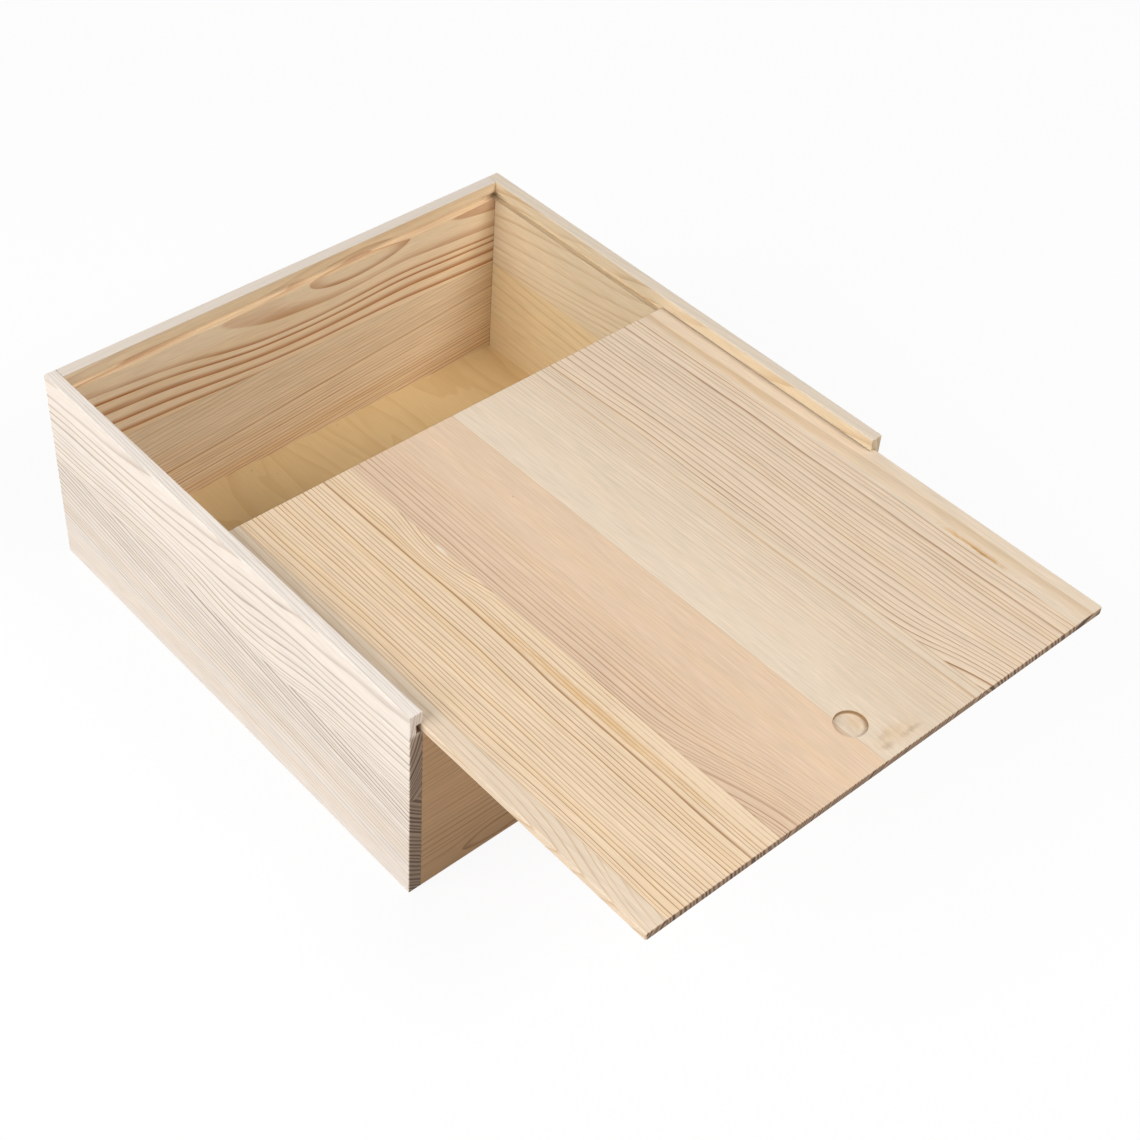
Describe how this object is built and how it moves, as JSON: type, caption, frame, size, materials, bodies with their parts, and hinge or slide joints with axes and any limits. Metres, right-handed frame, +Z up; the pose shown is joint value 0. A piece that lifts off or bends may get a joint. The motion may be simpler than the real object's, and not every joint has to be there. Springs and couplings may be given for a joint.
{
  "type": "sliding-lid box",
  "caption": "Low, nearly square pine box for papers and keepsakes, with a flat edge-glued lid that slides in grooves under the wall lips and has a round finger recess.",
  "frame": {"origin": "centre of the box's flat underside", "axes": "+Z up, +X to the right seen from the front, -Y towards the front, where the lid opens; the lid is drawn about half way out at rest, as pictured"},
  "size_m": [0.305, 0.443, 0.124],
  "materials": {
    "pine_walls": "bare sanded pine, matte",
    "pine_lid": "bare sanded pine, matte",
    "plywood_bottom": "bare plywood, matte"
  },
  "bodies": {
    "box": {"left_side_lower": "pine_walls", "left_side_upper": "pine_walls", "right_side_lower": "pine_walls", "right_side_upper": "pine_walls", "back_lower": "pine_walls", "back_upper": "pine_walls", "front_lower": "pine_walls", "front_upper": "pine_walls", "bottom_panel": "plywood_bottom"},
    "lid": {"lid_stave_1": "pine_lid", "lid_stave_2": "pine_lid", "lid_stave_3": "pine_lid", "lid_stave_4": "pine_lid", "lid_stave_5": "pine_lid", "lid_stave_6": "pine_lid"}
  },
  "joints": [
    {"name": "lid_slide", "type": "slide", "parent": "box", "child": "lid", "axis": [0, -1, 0], "range_m": [-0.143, 0.15]}
  ]
}
